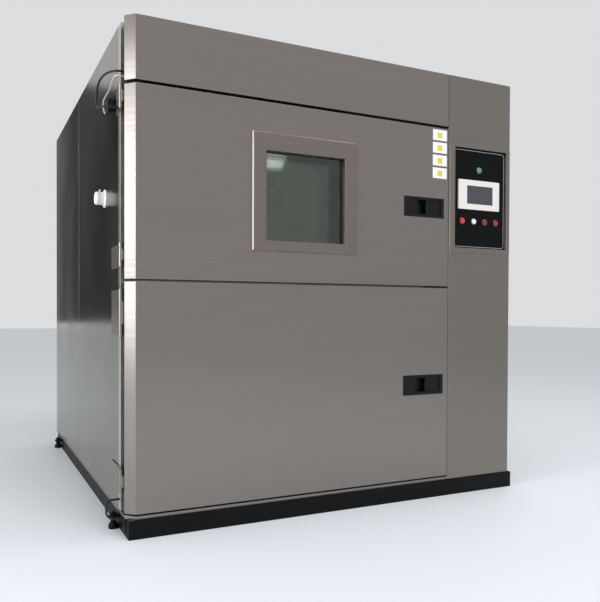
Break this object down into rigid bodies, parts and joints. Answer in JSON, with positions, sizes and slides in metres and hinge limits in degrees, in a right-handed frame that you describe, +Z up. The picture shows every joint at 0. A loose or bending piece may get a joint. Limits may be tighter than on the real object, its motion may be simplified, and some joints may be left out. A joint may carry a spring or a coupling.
{
  "type": "environmental test chamber",
  "caption": "Floor-standing two-zone environmental test chamber in brushed stainless steel, with a windowed upper door, plain lower door and control column.",
  "frame": {"origin": "middle of the cabinet's plan, on the underside of the plinth", "axes": "+Z up, -Y towards the person at the doors, +X to that person's right"},
  "size_m": [1.894, 1.91, 1.85],
  "materials": {
    "stainless": "satin brushed stainless sheet",
    "stainless_mirror": "bright stainless sheet",
    "black_paint": "semi-gloss black paint",
    "black_plastic": "matt black moulding",
    "black_foam": "black thermal-break edge over foam",
    "foam": "rigid insulating foam",
    "gasket_rubber": "soft black silicone",
    "white_silicone": "soft white silicone",
    "glass": "clear heated glass",
    "zinc": "zinc-plated steel",
    "aluminium": "plain aluminium",
    "cream_plastic": "off-white moulding",
    "screen": "dark display",
    "chrome_ring": "bright ring",
    "green_lens": "translucent green",
    "red_cap": "bright red",
    "white_cap": "white",
    "dark_red_cap": "dark red",
    "grey_paint": "grey paint",
    "beige_cable": "beige cable jacket",
    "black_cable": "black cable jacket"
  },
  "bodies": {
    "cabinet": {"plinth_frame": "black_paint", "levelling_feet": "black_paint", "floor_pan": "stainless", "left_panels": "stainless_mirror", "right_panels": "stainless_mirror", "rear_panel": "stainless", "top_panel": "stainless", "face_frame": "stainless", "front_fascia": "stainless", "fascia_core": "black_foam", "column_skin": "stainless", "control_bezel": "stainless", "control_plate": "black_paint", "touch_panel": "cream_plastic", "touch_glass": "screen", "control_operators": "chrome_ring", "run_lamp": "green_lens", "hinge_plates": "zinc", "door_cables": "black_cable", "sensor_cable": "beige_cable", "door_sensor": "black_plastic", "cable_port": "stainless", "port_plug": "white_silicone", "zone_liners": "stainless", "insulation_core": "foam", "air_baffles": "stainless", "fan_motors": "grey_paint", "heater_bank": "stainless", "evaporator_coil": "aluminium", "condenser": "aluminium", "compressors": "black_paint", "electrical_plate": "zinc", "lift_column": "aluminium"},
    "upper_door": {"upper_door_skin": "stainless", "upper_door_core": "black_foam", "upper_door_liner": "stainless", "upper_door_gasket": "gasket_rubber", "window_frame": "stainless", "window_panes": "glass", "glazing_spacers": "aluminium", "upper_latch_housing": "black_plastic", "upper_hinge_leaves": "zinc"},
    "lower_door": {"lower_door_skin": "stainless", "lower_door_core": "black_foam", "lower_door_liner": "stainless", "lower_door_gasket": "gasket_rubber", "lower_latch_housing": "black_plastic", "lower_hinge_leaves": "zinc"},
    "upper_paddle": {"upper_latch_paddle": "black_plastic"},
    "lower_paddle": {"lower_latch_paddle": "black_plastic"},
    "power_key": {"power_button": "red_cap"},
    "light_key": {"light_button": "white_cap"},
    "reset_key": {"reset_button": "dark_red_cap"},
    "start_key": {"start_button": "dark_red_cap"},
    "basket": {"test_basket": "stainless", "basket_shelf": "stainless", "lift_carriage": "aluminium"},
    "hot_fan": {"hot_blower": "zinc"},
    "cold_fan": {"cold_blower": "zinc"},
    "cooling_fan": {"condenser_fan": "aluminium"}
  },
  "joints": [
    {"name": "upper_door_hinge", "type": "hinge", "parent": "cabinet", "child": "upper_door", "pos_m": [-0.899, -0.895, 1.25], "axis": [0, 0, -1], "range_deg": [0, 110]},
    {"name": "lower_door_hinge", "type": "hinge", "parent": "cabinet", "child": "lower_door", "pos_m": [-0.899, -0.895, 0.5], "axis": [0, 0, -1], "range_deg": [0, 110]},
    {"name": "upper_latch_hinge", "type": "hinge", "parent": "upper_door", "child": "upper_paddle", "pos_m": [0.4837, -0.9415, 1.26], "axis": [0, 0, 1], "range_deg": [0, 35], "stiffness_Nm_per_rad": 0.4},
    {"name": "lower_latch_hinge", "type": "hinge", "parent": "lower_door", "child": "lower_paddle", "pos_m": [0.4837, -0.9415, 0.493], "axis": [0, 0, 1], "range_deg": [0, 35], "stiffness_Nm_per_rad": 0.4},
    {"name": "basket_lift", "type": "slide", "parent": "cabinet", "child": "basket", "axis": [0, 0, 1], "range_m": [0, 0.625]},
    {"name": "hot_blower_shaft", "type": "hinge", "parent": "cabinet", "child": "hot_fan", "pos_m": [0.0585, 0, 1.395], "axis": [0, 1, 0], "continuous": true},
    {"name": "cold_blower_shaft", "type": "hinge", "parent": "cabinet", "child": "cold_fan", "pos_m": [0.0585, 0, 0.64], "axis": [0, 1, 0], "continuous": true},
    {"name": "condenser_fan_shaft", "type": "hinge", "parent": "cabinet", "child": "cooling_fan", "pos_m": [-0.1795, 0.79, 0.45], "axis": [0, 1, 0], "continuous": true},
    {"name": "power_push", "type": "slide", "parent": "cabinet", "child": "power_key", "axis": [0, 1, 0], "range_m": [0, 0.0035], "stiffness_N_per_m": 400},
    {"name": "light_push", "type": "slide", "parent": "cabinet", "child": "light_key", "axis": [0, 1, 0], "range_m": [0, 0.0035], "stiffness_N_per_m": 400},
    {"name": "reset_push", "type": "slide", "parent": "cabinet", "child": "reset_key", "axis": [0, 1, 0], "range_m": [0, 0.0035], "stiffness_N_per_m": 400},
    {"name": "start_push", "type": "slide", "parent": "cabinet", "child": "start_key", "axis": [0, 1, 0], "range_m": [0, 0.0035], "stiffness_N_per_m": 400}
  ]
}
